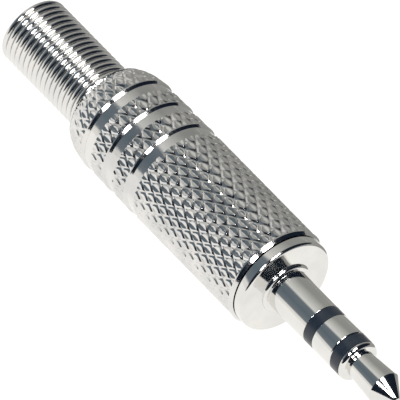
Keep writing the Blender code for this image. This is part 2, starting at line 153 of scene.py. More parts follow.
# Thread on the boss
THREAD_PITCH = 0.5 * MM
THREAD_DEPTH = 0.2 * MM
THREAD_HALF_FOOT = 0.48 * THREAD_PITCH
THREAD_STEPS = 72

# Barrel
BARREL_R = 4.32 * MM
BARREL_CHAMFER = 0.19 * MM
BARREL_CHAMFER_SLOPE = 0.27 * MM
EDGE_RING_DROP = 0.02 * MM
EDGE_RING_WIDTH = 0.10 * MM
GROOVE_R = 4.15 * MM
GROOVE_WIDTH = 0.88 * MM
GROOVE_SLOPE = 0.22 * MM
GROOVE_COUNT = 3
LAND_WIDTH = 1.60 * MM
REAR_LAND_WIDTH = 2.66 * MM

# Bores of the barrel
THREAD_BORE_R = 3.25 * MM
THREAD_BORE_LENGTH = 5.0 * MM
THREAD_BORE_CHAMFER = 0.1 * MM
CHAMBER_R = 3.45 * MM
SPRING_HOLE_R = 3.0 * MM
SPRING_HOLE_LENGTH = 2.9 * MM
SPRING_HOLE_CHAMFER = 0.05 * MM

# Dome at the barrel's rear end
DOME_LENGTH = 2.9 * MM
DOME_END_R = 3.15 * MM
DOME_KNURL_LENGTH = 2.7 * MM
DOME_KNURL_SHARE = 0.35
DOME_STEPS = 24
DOME_RIM_LENGTH = 0.6 * MM
DOME_RIM_STEPS = 8
DOME_WALK_ANGLE = math.pi / 400

# Diamond knurl
KNURL_STARTS = 28
KNURL_LENGTH = 1.53 * MM
KNURL_DEPTH = 0.20 * MM
KNURL_GROOVE = 0.12 * MM
KNURL_DISH = 0.15 * MM
KNURL_DISH_DEPTH = 0.14 * MM
KNURL_FOOT_SHARE = 1.25
KNURL_CORE_SPACE = 0.04 * MM
KNURL_SPARE_ROWS = 3

# Points deeper than this belong to the feet of a knurled stretch
KNURL_FLOOR = -KNURL_DEPTH * 1.01

# Spring
WIRE_R = 0.25 * MM
WIRE_STEPS = 10
COIL_PITCH = 0.547 * MM
COIL_R = 2.91 * MM - WIRE_R
FLARE_R = 3.3 * MM - WIRE_R
FLARE_TURNS = 1.5
TAPER_TURNS = 1.0
COIL_START_ANGLE = math.radians(-160)
POINTS_PER_TURN = 40

# The middle of a noise's values
NOISE_MIDDLE = (0.3, 0.7)

# Floor, and the grey card that the metal sees on one side of the plug: a glowing sheet that paints the
# floor's shade beside the plug into the metal's reflection
FLOOR_SIZE = 3.0
FLOOR_COLOUR = (0.9, 0.9, 0.89)
FLOOR_ROUGHNESS = 0.8
FLOOR_GLOW_COLOUR = (1.0, 0.985, 0.965)
FLOOR_GLOW = 1.12
FLOOR_GLOW_SHARE = 0.95
CARD_LOW = (-0.6, 0.010)
CARD_HIGH = (0.6, 0.6)
CARD_HEIGHT = 0.1 * MM
PAINTED_SHADE_COLOUR = (0.36, 0.36, 0.35)

# Bands of the surroundings, by degrees round the axis from upright
SKY_BANDS = (
    (-180, (0.95, 0.93, 0.90)),
    (-79, (0.95, 0.93, 0.90)),
    (-73, (0.20, 0.23, 0.26)),
    (-45, (0.13, 0.17, 0.20)),
    (-16, (0.17, 0.20, 0.23)),
    (-8, (0.80, 0.80, 0.78)),
    (20, (0.55, 0.55, 0.53)),
    (46, (0.34, 0.34, 0.33)),
    (180, (0.34, 0.34, 0.33)),
)

# The surroundings darken towards the tip's side, and turn pale low behind the plug
AHEAD_RANGE = (-0.30, 0.10)
AHEAD_COLOUR = (0.009, 0.015, 0.027)
LOW_BEHIND = (1.0, 0.0, 1.2)
LOW_BEHIND_RANGE = (-0.60, -0.75)
LOW_BEHIND_COLOUR = (0.90, 0.88, 0.86)

# Lamps and camera, with the place of the flange's face from the middle of the picture
LAMP_DISTANCE = 0.8
CAMERA_AZIMUTH = math.radians(53.6)
CAMERA_ELEVATION = math.radians(48.8)
CAMERA_DISTANCE = 1.4
CAMERA_CLIP_START = 0.01
CAMERA_CLIP_END = 20
PICTURE_WIDTH = 29.71 * MM
FACE_RIGHT = 6.363 * MM
FACE_DOWN = 6.501 * MM
SENSOR_WIDTH = 36


def point_at(along, radius=0.0):
    """The point above the axis at a place along the plug."""
    return Vector((FACE_X + along, 0.0, AXIS_Z + radius))


def select_only(obj):
    bpy.ops.object.select_all(action="DESELECT")
    obj.select_set(True)
    bpy.context.view_layer.objects.active = obj


def edit_mode(obj):
    select_only(obj)
    bpy.ops.object.mode_set(mode="EDIT")
    bpy.ops.mesh.select_mode(type="VERT")


def object_mode():
    bpy.ops.object.mode_set(mode="OBJECT")


def merge_points(distance=MERGE):
    bpy.ops.mesh.select_all(action="SELECT")
    bpy.ops.mesh.remove_doubles(threshold=distance)


def arc(centre, radius, start, end, steps):
    """Points (place, radius) on a circle, by angles from the axis direction in degrees."""
    points = []
    for step in range(steps + 1):
        turn = math.radians(start + (end - start) * step / steps)
        points.append((centre[0] + radius * math.cos(turn), centre[1] + radius * math.sin(turn)))
    return points


def turned(name, outline, sides=SHAFT_SIDES, edge=0.0, sharp=SHARP_ANGLE):
    """A turned piece: its outline is drawn by extruding one point, and then spun about the axis.

    An outline that doesn't begin on the axis is closed through its bore.
    """
    start = point_at(*outline[0])
    bpy.ops.mesh.primitive_plane_add(size=MM, location=start)
    piece = bpy.context.object
    piece.name = name
    bpy.ops.object.transform_apply(location=True, rotation=True, scale=True)
    edit_mode(piece)
    bpy.ops.mesh.select_all(action="SELECT")
    bpy.ops.mesh.merge(type="CENTER")
    closed = outline[0][1] > 0
    here = start
    for along, radius in outline[1:] + (outline[:1] if closed else []):
        there = point_at(along, radius)
        bpy.ops.mesh.extrude_vertices_move(TRANSFORM_OT_translate={"value": there - here})
        here = there
    merge_points()
    bpy.ops.mesh.spin(steps=sides, angle=FULL_TURN, center=point_at(0.0), axis=(1, 0, 0))
    merge_points()
    bpy.ops.mesh.normals_make_consistent(inside=False)
    object_mode()
    if edge:
        bevel_edges(piece, edge, sharp)
    smooth(piece, sharp)
    return piece


def bevel_edges(piece, width, angle):
    bevel = piece.modifiers.new("edges", "BEVEL")
    bevel.width = width
    bevel.segments = EDGE_STEPS
    bevel.limit_method = "ANGLE"
    bevel.angle_limit = math.radians(angle)
    bevel.use_clamp_overlap = True
    apply_modifiers(piece)


def apply_modifiers(piece):
    bpy.context.view_layer.objects.active = piece
    for modifier in list(piece.modifiers):
        bpy.ops.object.modifier_apply(modifier=modifier.name)


def smooth(piece, angle):
    select_only(piece)
    bpy.ops.object.shade_smooth_by_angle(angle=math.radians(angle))


def join(pieces):
    """The pieces as one object, the first one."""
    bpy.ops.object.select_all(action="DESELECT")
    for piece in pieces:
        piece.select_set(True)
    bpy.context.view_layer.objects.active = pieces[0]
    bpy.ops.object.join()


def finish_piece(piece, node, body, material):
    """The piece takes its material and the place of its node."""
    piece.data.materials.clear()
    piece.data.materials.append(material)
    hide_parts(node)
    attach(piece, body)


def shader_nodes(name, metallic=0.0):
    material = bpy.data.materials.new(name)
    material.use_nodes = True
    tree = material.node_tree
    shader = tree.nodes["Principled BSDF"]
    shader.inputs["Metallic"].default_value = metallic
    return material, tree, shader


def stretched_noise(tree, scale, detail):
    """Noise on object coordinates, scaled by its own amount along each axis."""
    place = tree.nodes.new("ShaderNodeTexCoord")
    mapping = tree.nodes.new("ShaderNodeMapping")
    mapping.inputs["Scale"].default_value = scale
    noise = tree.nodes.new("ShaderNodeTexNoise")
    noise.inputs["Scale"].default_value = 1.0
    noise.inputs["Detail"].default_value = detail
    tree.links.new(place.outputs["Object"], mapping.inputs["Vector"])
    tree.links.new(mapping.outputs["Vector"], noise.inputs["Vector"])
    return noise.outputs["Fac"]


def ranged(tree, value, source, target=(0.0, 1.0), interpolation="LINEAR"):
    """A value led from one range to another."""
    spread = tree.nodes.new("ShaderNodeMapRange")
    spread.interpolation_type = interpolation
    spread.inputs["From Min"].default_value = source[0]
    spread.inputs["From Max"].default_value = source[1]
    spread.inputs["To Min"].default_value = target[0]
    spread.inputs["To Max"].default_value = target[1]
    tree.links.new(value, spread.inputs["Value"])
    return spread.outputs["Result"]


def blend_node(tree, share, second):
    """A blend towards a colour, whose first colour is still to be given."""
    mix = tree.nodes.new("ShaderNodeMix")
    mix.data_type = "RGBA"
    mix.inputs["B"].default_value = (*second, 1.0)
    tree.links.new(share, mix.inputs["Factor"])
    return mix


def tinted(tree, shader, noise, dark, light):
    """A base colour that wanders between two tones."""
    mix = blend_node(tree, ranged(tree, noise, NOISE_MIDDLE), light)
    mix.inputs["A"].default_value = (*dark, 1.0)
    tree.links.new(mix.outputs["Result"], shader.inputs["Base Color"])


def roughened(tree, shader, noise, low, high):
    """A roughness that wanders between two values."""
    tree.links.new(ranged(tree, noise, NOISE_MIDDLE, (low, high)), shader.inputs["Roughness"])


def bumped(tree, shader, noise, depth):
    bump = tree.nodes.new("ShaderNodeBump")
    bump.inputs["Strength"].default_value = 1.0
    bump.inputs["Distance"].default_value = depth
    tree.links.new(noise, bump.inputs["Height"])
    tree.links.new(bump.outputs["Normal"], shader.inputs["Normal"])


def turned_nickel():
    """Nickel plate over turned brass: faint rings from the tool, and a soft unevenness in the gloss."""
    material, tree, shader = shader_nodes("turned_nickel", metallic=1.0)
    rings = stretched_noise(tree, (9000, 60, 60), 3)
    clouds = stretched_noise(tree, (500, 500, 500), 2)
    tinted(tree, shader, clouds, dark=(0.70, 0.70, 0.68), light=(0.78, 0.77, 0.74))
    roughened(tree, shader, rings, 0.05, 0.12)
    bumped(tree, shader, rings, 0.0003 * MM)
    return material


def knurled_nickel():
    """Nickel plate over the rolled knurl: a little duller, with specks where the metal was pushed up."""
    material, tree, shader = shader_nodes("knurled_nickel", metallic=1.0)
    specks = stretched_noise(tree, (3500, 3500, 3500), 4)
    clouds = stretched_noise(tree, (450, 450, 450), 2)
    tinted(tree, shader, clouds, dark=(0.62, 0.62, 0.61), light=(0.76, 0.75, 0.73))
    roughened(tree, shader, specks, 0.06, 0.16)
    bumped(tree, shader, specks, 0.007 * MM)
    return material


def spring_wire():
    """Drawn and plated wire, with fine lines round the coil."""
    material, tree, shader = shader_nodes("plated_spring_wire", metallic=1.0)
    lines = stretched_noise(tree, (9000, 300, 300), 3)
    clouds = stretched_noise(tree, (400, 400, 400), 2)
    tinted(tree, shader, clouds, dark=(0.70, 0.70, 0.69), light=(0.78, 0.77, 0.75))
    roughened(tree, shader, lines, 0.11, 0.14)
    return material


def tinned_brass():
    """Dull tin over stamped brass sheet."""
    material, tree, shader = shader_nodes("tinned_brass", metallic=1.0)
    grain = stretched_noise(tree, (2500, 2500, 2500), 4)
    tinted(tree, shader, grain, dark=(0.60, 0.59, 0.57), light=(0.74, 0.73, 0.70))
    roughened(tree, shader, grain, 0.28, 0.42)
    bumped(tree, shader, grain, 0.003 * MM)
    return material


def moulded_black():
    """Smooth moulded plastic, a very dark blue-black."""
    material, tree, shader = shader_nodes("moulded_black")
    grain = stretched_noise(tree, (1800, 1800, 1800), 3)
    tinted(tree, shader, grain, dark=(0.008, 0.014, 0.024), light=(0.014, 0.022, 0.034))
    roughened(tree, shader, grain, 0.24, 0.34)
    bumped(tree, shader, grain, 0.001 * MM)
    return material


def laminate():
    """Pressed brown washer sheet with short fibres."""
    material, tree, shader = shader_nodes("laminate")
    fibres = stretched_noise(tree, (900, 5200, 2600), 4)
    tinted(tree, shader, fibres, dark=(0.075, 0.03, 0.014), light=(0.16, 0.08, 0.04))
    roughened(tree, shader, fibres, 0.5, 0.7)
    bumped(tree, shader, fibres, 0.004 * MM)
    return material


def milky_plastic():
    """Thin drawn tube of milky plastic."""
    material, tree, shader = shader_nodes("milky_plastic")
    haze = stretched_noise(tree, (300, 1600, 1600), 3)
    tinted(tree, shader, haze, dark=(0.72, 0.74, 0.72), light=(0.84, 0.85, 0.83))
    roughened(tree, shader, haze, 0.35, 0.5)
    bumped(tree, shader, haze, 0.002 * MM)
    return material


def make_tip(material):
    """Rounded lip, waisted neck, bulb and cone, with the stem that runs back to its rivet head."""
    back = TIP_INSULATOR_FRONT + FIT
    lip = back + LIP_LENGTH
    bulb = TIP_END - BULB_TO_END
    rivet = STEM_END + STAKE_HEIGHT
    outline = [(TIP_END, 0.0)]
    outline += [(TIP_END - depth, APEX_R * share) for depth, share in APEX_ROUND]
    outline += [(TIP_END - APEX_LENGTH, APEX_R), (bulb + BULB_ROUND, BULB_R - BULB_FRONT_DROP)]
    outline += [(bulb - BULB_ROUND, BULB_R - BULB_BACK_DROP), (lip + NECK_FROM_LIP, NECK_R)]
    for step in range(LIP_STEPS + 1):
        turn = math.pi / 2 * step / LIP_STEPS
        drop = (SHAFT_R - LIP_CORNER_R) * (1 - math.sin(turn))
        outline.append((lip + LIP_ROUND * math.cos(turn), SHAFT_R - drop))
    outline += [(back, SHAFT_R - LIP_EDGE), (back, STEM_R)]
    outline += [(rivet, STEM_R), (rivet, STEM_R + RIVET_STEP)]
    outline += [(STEM_END + STAKE_HEIGHT / 2, STEM_R + RIVET_STEP)]
    outline += [(STEM_END, STEM_R * RIVET_CROWN_SHARE), (STEM_END, 0.0)]
    piece = turned("tip", outline, sharp=TIP_SHARP_ANGLE)
    finish_piece(piece, "tip_contact", "contacts", material)


def make_insulator(name, node, collar, bore_r, end, material):
    """A moulded collar, from its front to its back place, with the tube that runs on to its end."""
    front, back = collar
    collar_r = SHAFT_R - INSULATOR_RELIEF
    tube_r = bore_r + TUBE_WALL
    outline = [(front, bore_r), (front, collar_r), (back, collar_r)]
    outline += [(back, tube_r), (end, tube_r), (end, bore_r)]
    finish_piece(turned(name, outline), node, "contacts", material)


def make_insulators(material):
    tip_collar = (TIP_INSULATOR_FRONT, RING_FRONT + FIT)
    ring_collar = (RING_INSULATOR_FRONT, SLEEVE_FRONT + FIT)
    make_insulator("tip_collar", "tip_insulator", tip_collar, TIP_TUBE_BORE_R, TIP_INSULATOR_END, material)
    make_insulator(
        "ring_collar", "ring_insulator", ring_collar, RING_SLEEVE_BORE_R, RING_INSULATOR_END, material
    )


def make_ring(material):
    """The ring with its bevelled front edge, and the tube that is riveted over its lug."""
    back = RING_INSULATOR_FRONT + FIT
    rivet = RING_TUBE_END + STAKE_HEIGHT
    outline = [(RING_FRONT, RING_TUBE_BORE_R), (RING_FRONT, SHAFT_R - CONTACT_EDGE)]
    outline += [(RING_FRONT - CONTACT_EDGE, SHAFT_R), (back, SHAFT_R), (back, RING_TUBE_R)]
    outline += [(rivet, RING_TUBE_R), (rivet, RING_TUBE_R + RIVET_STEP)]
    outline += [(RING_TUBE_END, RING_TUBE_R + RIVET_STEP), (RING_TUBE_END, RING_TUBE_BORE_R)]
    piece = turned("ring", outline, edge=EDGE_ROUND)
    finish_piece(piece, "ring_contact", "contacts", material)


def thread_ridge(front, back, root_r):
    """The boss's thread: a three-cornered ridge wound round it, closed at both ends."""
    turns = (front - back) / THREAD_PITCH
    bpy.ops.mesh.primitive_circle_add(vertices=3, radius=MM)
    ridge = bpy.context.object
    foot_r = root_r - FIT
    corners = ((THREAD_HALF_FOOT, foot_r), (0.0, BOSS_R), (-THREAD_HALF_FOOT, foot_r))
    for vert, (along, radius) in zip(ridge.data.vertices, corners):
        vert.co = (along, 0.0, radius)
    screw = ridge.modifiers.new("thread", "SCREW")
    screw.axis = "X"
    screw.angle = -FULL_TURN * turns
    screw.screw_offset = -THREAD_PITCH * turns
    screw.steps = math.ceil(turns * THREAD_STEPS)
    screw.render_steps = screw.steps
    screw.use_smooth_shade = False
    apply_modifiers(ridge)
    edit_mode(ridge)
    bpy.ops.mesh.select_all(action="SELECT")
    bpy.ops.transform.translate(value=point_at(front))
    bpy.ops.mesh.fill_holes(sides=3)
    bpy.ops.mesh.normals_make_consistent(inside=False)
    object_mode()
    smooth(ridge, SHARP_ANGLE)
    return ridge


def make_sleeve(material):
    """Sleeve, flange and threaded boss in one piece."""
    stake_front = STAKE_END + STAKE_HEIGHT
    boss_end = -FLANGE_THICKNESS - BOSS_LENGTH
    collar_centre = (COLLAR_HEIGHT - COLLAR_ROUND, COLLAR_R - COLLAR_ROUND)
    flange_round = FLANGE_R - FLANGE_FACE_R
    thread_start = -FLANGE_THICKNESS - UNDERCUT_WIDTH
    root_r = BOSS_R - THREAD_DEPTH
    outline = [(SLEEVE_FRONT, SLEEVE_BORE_R), (SLEEVE_FRONT, SHAFT_R), (COLLAR_HEIGHT, SHAFT_R)]
    outline += arc(collar_centre, COLLAR_ROUND, 0, 90, COLLAR_STEPS)
    outline += [(0.0, COLLAR_R)]
    outline += arc((-flange_round, FLANGE_FACE_R), flange_round, 0, 90, FLANGE_STEPS)
    outline += [(-FLANGE_THICKNESS, FLANGE_R), (-FLANGE_THICKNESS, BOSS_R - UNDERCUT)]
    outline += [(thread_start, BOSS_R - UNDERCUT), (thread_start, root_r)]
    outline += [(boss_end + BOSS_CHAMFER, root_r), (boss_end, BOSS_R - BOSS_CHAMFER)]
    outline += [(boss_end, SPIGOT_R), (stake_front, SPIGOT_R), (stake_front, SPIGOT_R + STAKE_STEP)]
    outline += [(STAKE_END, SPIGOT_R + STAKE_STEP), (STAKE_END, SLEEVE_BORE_R)]
    piece = turned("sleeve", outline, WIDE_SIDES, EDGE_ROUND)
    join([piece, thread_ridge(thread_start - THREAD_PITCH, boss_end + BOSS_CHAMFER, root_r)])
    finish_piece(piece, "sleeve_contact", "contacts", material)


def knurled_surface(distance):
    """Where the barrel's surface lies at a distance along it: (place, radius, normal, knurl share).

    The first stretch is a cylinder and the last one a quarter of an ellipse.
    """
    dome_start = BARREL_END + DOME_LENGTH
    straight = BARREL_FRONT - dome_start
    if distance <= straight:
        return BARREL_FRONT - distance, BARREL_R, (0.0, 1.0), 1.0
    rise = BARREL_R - DOME_END_R
    left = distance - straight
    turn = 0.0
    while left > 0 and turn < math.pi / 2:
        left -= DOME_WALK_ANGLE * math.hypot(DOME_LENGTH * math.cos(turn), rise * math.sin(turn))
        turn += DOME_WALK_ANGLE
    place = dome_start - DOME_LENGTH * math.sin(turn)
    radius = DOME_END_R + rise * math.cos(turn)
    normal = Vector((-rise * math.sin(turn), DOME_LENGTH * math.cos(turn))).normalized()
    share = 1.0 - (1.0 - DOME_KNURL_SHARE) * turn / (math.pi / 2)
    return place, radius, normal, share


def knurl_diamonds(name, width):
    """Two flat diamonds, the second one half a step on: raised edges at Z 0 and a dished middle."""
    bpy.ops.mesh.primitive_circle_add(vertices=8, radius=1.0, fill_type="NGON")
    sheet = bpy.context.object
    sheet.name = name
    for vert in sheet.data.vertices:
        between_corners = abs(vert.co.x * vert.co.y) > 0.1
        if between_corners:
            vert.co = (math.copysign(0.5, vert.co.x), math.copysign(0.5, vert.co.y), 0.0)
        vert.co.z = -KNURL_DEPTH
    edit_mode(sheet)
    bpy.ops.mesh.select_all(action="SELECT")
    bpy.ops.transform.resize(value=(KNURL_LENGTH / 2, width / 2, 1), center_override=(0, 0, 0))
    bpy.ops.mesh.inset(thickness=KNURL_GROOVE, depth=KNURL_DEPTH)
    bpy.ops.mesh.inset(thickness=KNURL_DISH, depth=-KNURL_DISH_DEPTH)
    bpy.ops.mesh.select_all(action="SELECT")
    half_step = (KNURL_LENGTH / 2, width / 2, 0)
    bpy.ops.mesh.duplicate_move(TRANSFORM_OT_translate={"value": half_step})
    object_mode()
    return sheet


def knurl_sheet(name, length):
    """A flat sheet of knurling, as long as a band and as wide as the barrel's round.

    X is the distance along the barrel and Y the way round it. Narrow grooves part the diamonds.
    """
    width = FULL_TURN * BARREL_R / KNURL_STARTS
    sheet = knurl_diamonds(name, width)
    rows = math.ceil(length / KNURL_LENGTH) + KNURL_SPARE_ROWS
    for count, offset in ((rows, (KNURL_LENGTH, 0, 0)), (KNURL_STARTS, (0, width, 0))):
        repeat = sheet.modifiers.new("rows", "ARRAY")
        repeat.count = count
        repeat.use_relative_offset = False
        repeat.use_constant_offset = True
        repeat.constant_offset_displace = offset
        repeat.use_merge_vertices = False
    apply_modifiers(sheet)
    edit_mode(sheet)
    merge_points()
    bpy.ops.mesh.normals_make_consistent(inside=False)
    object_mode()
    rounding = sheet.modifiers.new("rounding", "SUBSURF")
    rounding.levels = 1
    rounding.render_levels = 1
    apply_modifiers(sheet)
    return sheet


def trim(sheet, place, normal, foot):
    """Cut the sheet off at a plane, and lead the cut edge down to a foot line under the groove's floor."""
    edit_mode(sheet)
    bpy.ops.mesh.select_all(action="SELECT")
    bpy.ops.mesh.bisect(
        plane_co=place, plane_no=normal, clear_outer=True, use_fill=False, threshold=CUT_MERGE
    )
    bpy.ops.mesh.extrude_edges_move()
    bpy.ops.transform.resize(value=(0, 1, 0), center_override=foot)
    object_mode()


def wrap(sheet):
    """Bend the flat sheet round the barrel, with a shallower knurl on the dome."""
    for vert in sheet.data.vertices:
        place, radius, normal, share = knurled_surface(vert.co.x)
        height = vert.co.z * (share if vert.co.z > KNURL_FLOOR else 1.0)
        turn = vert.co.y / BARREL_R
        radius += height * normal[1]
        place += height * normal[0]
        vert.co = (FACE_X + place, radius * math.sin(turn), AXIS_Z + radius * math.cos(turn))


def knurl_band(name, front, back):
    """One knurled stretch of the barrel, closed on its inner side between its two feet."""
    sheet = knurl_sheet(name, back - front)
    edit_mode(sheet)
    bpy.ops.mesh.select_all(action="SELECT")
    shift = -math.fmod(front, KNURL_LENGTH) - KNURL_LENGTH
    bpy.ops.transform.translate(value=(front + shift, 0, 0))
    object_mode()
    foot = KNURL_FOOT_SHARE * (GROOVE_R - BARREL_R)
    trim(sheet, (front, 0, 0), (-1, 0, 0), (front, 0, foot))
    trim(sheet, (back, 0, 0), (1, 0, 0), (back, 0, foot))
    wrap(sheet)
    edit_mode(sheet)
    merge_points(SEAM_MERGE)
    bpy.ops.mesh.select_all(action="DESELECT")
    bpy.ops.mesh.select_mode(type="EDGE")
    bpy.ops.mesh.select_non_manifold(extend=False, use_wire=False, use_multi_face=False, use_verts=False)
    bpy.ops.mesh.bridge_edge_loops()
    bpy.ops.mesh.select_all(action="SELECT")
    bpy.ops.mesh.normals_make_consistent(inside=False)
    object_mode()
    smooth(sheet, KNURL_SHARP_ANGLE)
    return sheet


def groove_places():
    """Where the grooves begin, from the front one to the rear one."""
    places = []
    back = BARREL_END + REAR_LAND_WIDTH + GROOVE_SLOPE
    for _ in range(GROOVE_COUNT):
        places.insert(0, back + GROOVE_WIDTH)
        back += GROOVE_WIDTH + LAND_WIDTH + GROOVE_SLOPE
    return places


def edge_ring(front, depth, slope):
    """The slope at a stretch's front end, and the narrow smooth ring behind it."""
    top_r = BARREL_R - EDGE_RING_DROP
    back = front - slope - EDGE_RING_WIDTH
    return [(front, BARREL_R - depth), (front - slope, top_r), (back, top_r), (back - FIT, GROOVE_R)]


def dome_outline(dome_start):
    """The dome's core under its knurl, and the smooth rim behind that."""
    outline = []
    for step in range(1, DOME_STEPS + 1):
        distance = dome_start + DOME_KNURL_LENGTH * step / DOME_STEPS
        place, radius, normal, share = knurled_surface(distance)
        depth = (KNURL_DEPTH + KNURL_CORE_SPACE) * share
        outline.append((place - depth * normal[0], min(GROOVE_R, radius - depth * normal[1])))
    rim_start = dome_start + DOME_KNURL_LENGTH
    for step in range(DOME_RIM_STEPS + 1):
        place, radius, _, _ = knurled_surface(rim_start + DOME_RIM_LENGTH * step / DOME_RIM_STEPS)
        outline.append((max(place, BARREL_END), radius))
    return outline + [(BARREL_END, DOME_END_R)]


def bore_outline():
    """The barrel's inside, from the spring's hole to the thread's bore."""
    shoulder = BARREL_END + SPRING_HOLE_LENGTH
    bore_end = BARREL_FRONT - THREAD_BORE_LENGTH
    outline = [(BARREL_END, SPRING_HOLE_R + SPRING_HOLE_CHAMFER)]
    outline += [(BARREL_END + SPRING_HOLE_CHAMFER, SPRING_HOLE_R), (shoulder, SPRING_HOLE_R)]
    outline += [(shoulder, CHAMBER_R), (bore_end, CHAMBER_R), (bore_end, THREAD_BORE_R)]
    return outline + [(BARREL_FRONT - THREAD_BORE_CHAMFER, THREAD_BORE_R)]


def make_barrel(material):
    """The barrel: a turned body with grooves, and the knurled stretches that stand on it."""
    groove_starts = groove_places()
    dome_start = BARREL_FRONT - (BARREL_END + DOME_LENGTH)
    outline = [(BARREL_FRONT, THREAD_BORE_R + THREAD_BORE_CHAMFER)]
    outline += edge_ring(BARREL_FRONT, BARREL_CHAMFER, BARREL_CHAMFER_SLOPE)
    for start in groove_starts:
        outline += edge_ring(start - GROOVE_WIDTH, BARREL_R - GROOVE_R, GROOVE_SLOPE)
    outline += [(BARREL_FRONT - dome_start, GROOVE_R)]
    outline += dome_outline(dome_start) + bore_outline()
    pieces = [turned("barrel_shell", outline, WIDE_SIDES)]
    front = BARREL_CHAMFER_SLOPE + EDGE_RING_WIDTH
    for number, start in enumerate(groove_starts):
        end = BARREL_FRONT - start
        pieces.append(knurl_band(f"knurl_{number}", front, end))
        front = end + GROOVE_WIDTH + GROOVE_SLOPE + EDGE_RING_WIDTH
    pieces.append(knurl_band("knurl_rear", front, dome_start + DOME_KNURL_LENGTH))
    join(pieces)
    finish_piece(pieces[0], "barrel", "barrel", material)


def wound_wire():
    """The spring as a curve with a round section."""
    turns = (SPRING_START - SPRING_END - 2 * WIRE_R) / COIL_PITCH
    count = math.ceil(turns * POINTS_PER_TURN)
    curve = bpy.data.curves.new("spring", "CURVE")
    curve.dimensions = "3D"
    curve.bevel_depth = WIRE_R
    curve.bevel_resolution = WIRE_STEPS
    curve.use_fill_caps = True
    wire = curve.splines.new("POLY")
    wire.points.add(count)
    for number, point in enumerate(wire.points):
        turn = turns * number / count
        share = min(max((turn - FLARE_TURNS) / TAPER_TURNS, 0.0), 1.0)
        radius = FLARE_R + (COIL_R - FLARE_R) * share
        angle = COIL_START_ANGLE + turn * FULL_TURN
        along = FACE_X + SPRING_START - WIRE_R - turn * COIL_PITCH
        point.co = (along, radius * math.sin(angle), AXIS_Z - radius * math.cos(angle), 1.0)
    return curve


def make_spring(material):
    """The coil, closely wound, with a wider start that the barrel's shoulder holds."""
    piece = bpy.data.objects.new("spring", wound_wire())
    bpy.context.scene.collection.objects.link(piece)
    select_only(piece)
    bpy.ops.object.convert(target="MESH")
    piece = bpy.context.object
    edit_mode(piece)
    merge_points()
    bpy.ops.mesh.normals_make_consistent(inside=False)
    object_mode()
    smooth(piece, WIRE_SHARP_ANGLE)
    finish_piece(piece, "bend_spring", "spring", material)


def dress_node(node, material):
    """A better material on a frame piece whose shape is right."""
    piece = frame["nodes"][node]
    piece.data.materials.clear()
    piece.data.materials.append(material)


def camera_or_glossy(tree):
    """1 for what the camera or the metal sees, 0 for the light that falls on things."""
    light = tree.nodes.new("ShaderNodeLightPath")
    either = tree.nodes.new("ShaderNodeMath")
    either.operation = "MAXIMUM"
    tree.links.new(light.outputs["Is Camera Ray"], either.inputs[0])
    tree.links.new(light.outputs["Is Glossy Ray"], either.inputs[1])
    return either.outputs["Value"]


def glow(tree, colour, strength):
    node = tree.nodes.new("ShaderNodeEmission")
    node.inputs["Color"].default_value = (*colour, 1.0)
    node.inputs["Strength"].default_value = strength
    return node.outputs["Emission"]


def floor_paint():
    """Matt and pale for the light, and white to the camera and in the metal."""
    material, tree, shader = shader_nodes("pale_floor")
    shader.inputs["Base Color"].default_value = (*FLOOR_COLOUR, 1.0)
    shader.inputs["Roughness"].default_value = FLOOR_ROUGHNESS
    shader.inputs["Specular IOR Level"].default_value = 0.0
    share = tree.nodes.new("ShaderNodeMath")
    share.operation = "MULTIPLY"
    share.inputs[1].default_value = FLOOR_GLOW_SHARE
    mix = tree.nodes.new("ShaderNodeMixShader")
    tree.links.new(camera_or_glossy(tree), share.inputs[0])
    tree.links.new(share.outputs["Value"], mix.inputs["Fac"])
    tree.links.new(shader.outputs["BSDF"], mix.inputs[1])
    tree.links.new(glow(tree, FLOOR_GLOW_COLOUR, FLOOR_GLOW), mix.inputs[2])
    tree.links.new(mix.outputs["Shader"], tree.nodes["Material Output"].inputs["Surface"])
    return material


def pale_floor():
    """A pale floor that keeps a soft shadow."""
    bpy.ops.mesh.primitive_plane_add(size=FLOOR_SIZE, location=(0, 0, 0))
    floor = bpy.context.object
    floor.name = "floor"
    floor.data.materials.append(floor_paint())


def grey_card():
    """A card lying on the floor, which only the metal sees. Its grey glow is painted shade, standing in
    for the floor's shade beside the plug as the metal reflects it.
    """
    middle_x = (CARD_LOW[0] + CARD_HIGH[0]) / 2
    middle_y = (CARD_LOW[1] + CARD_HIGH[1]) / 2
    bpy.ops.mesh.primitive_plane_add(size=1.0, location=(middle_x, middle_y, CARD_HEIGHT))
    card = bpy.context.object
    card.name = "grey_card"
    card.scale = (CARD_HIGH[0] - CARD_LOW[0], CARD_HIGH[1] - CARD_LOW[1], 1.0)
    bpy.ops.object.transform_apply(location=True, rotation=True, scale=True)
    material, tree, shader = shader_nodes("grey_card")
    tree.nodes.remove(shader)
    # Painted shade: the card glows grey though it is no lamp, and only the metal sees it
    tree.links.new(glow(tree, PAINTED_SHADE_COLOUR, 1.0), tree.nodes["Material Output"].inputs["Surface"])
    card.data.materials.append(material)
    card.visible_camera = False
    card.visible_diffuse = False
    card.visible_shadow = False


def sky_bands(tree, across, upright):
    """Colours in bands round the plug's axis."""
    angle = tree.nodes.new("ShaderNodeMath")
    angle.operation = "ARCTAN2"
    tree.links.new(across, angle.inputs[0])
    tree.links.new(upright, angle.inputs[1])
    ramp = tree.nodes.new("ShaderNodeValToRGB")
    while len(ramp.color_ramp.elements) < len(SKY_BANDS):
        ramp.color_ramp.elements.new(0.5)
    for element, (degrees, colour) in zip(ramp.color_ramp.elements, SKY_BANDS):
        element.position = (degrees + 180) / 360
        element.color = (*colour, 1.0)
    share = ranged(tree, angle.outputs["Value"], (-math.pi, math.pi))
    tree.links.new(share, ramp.inputs["Fac"])
    return ramp.outputs["Color"]


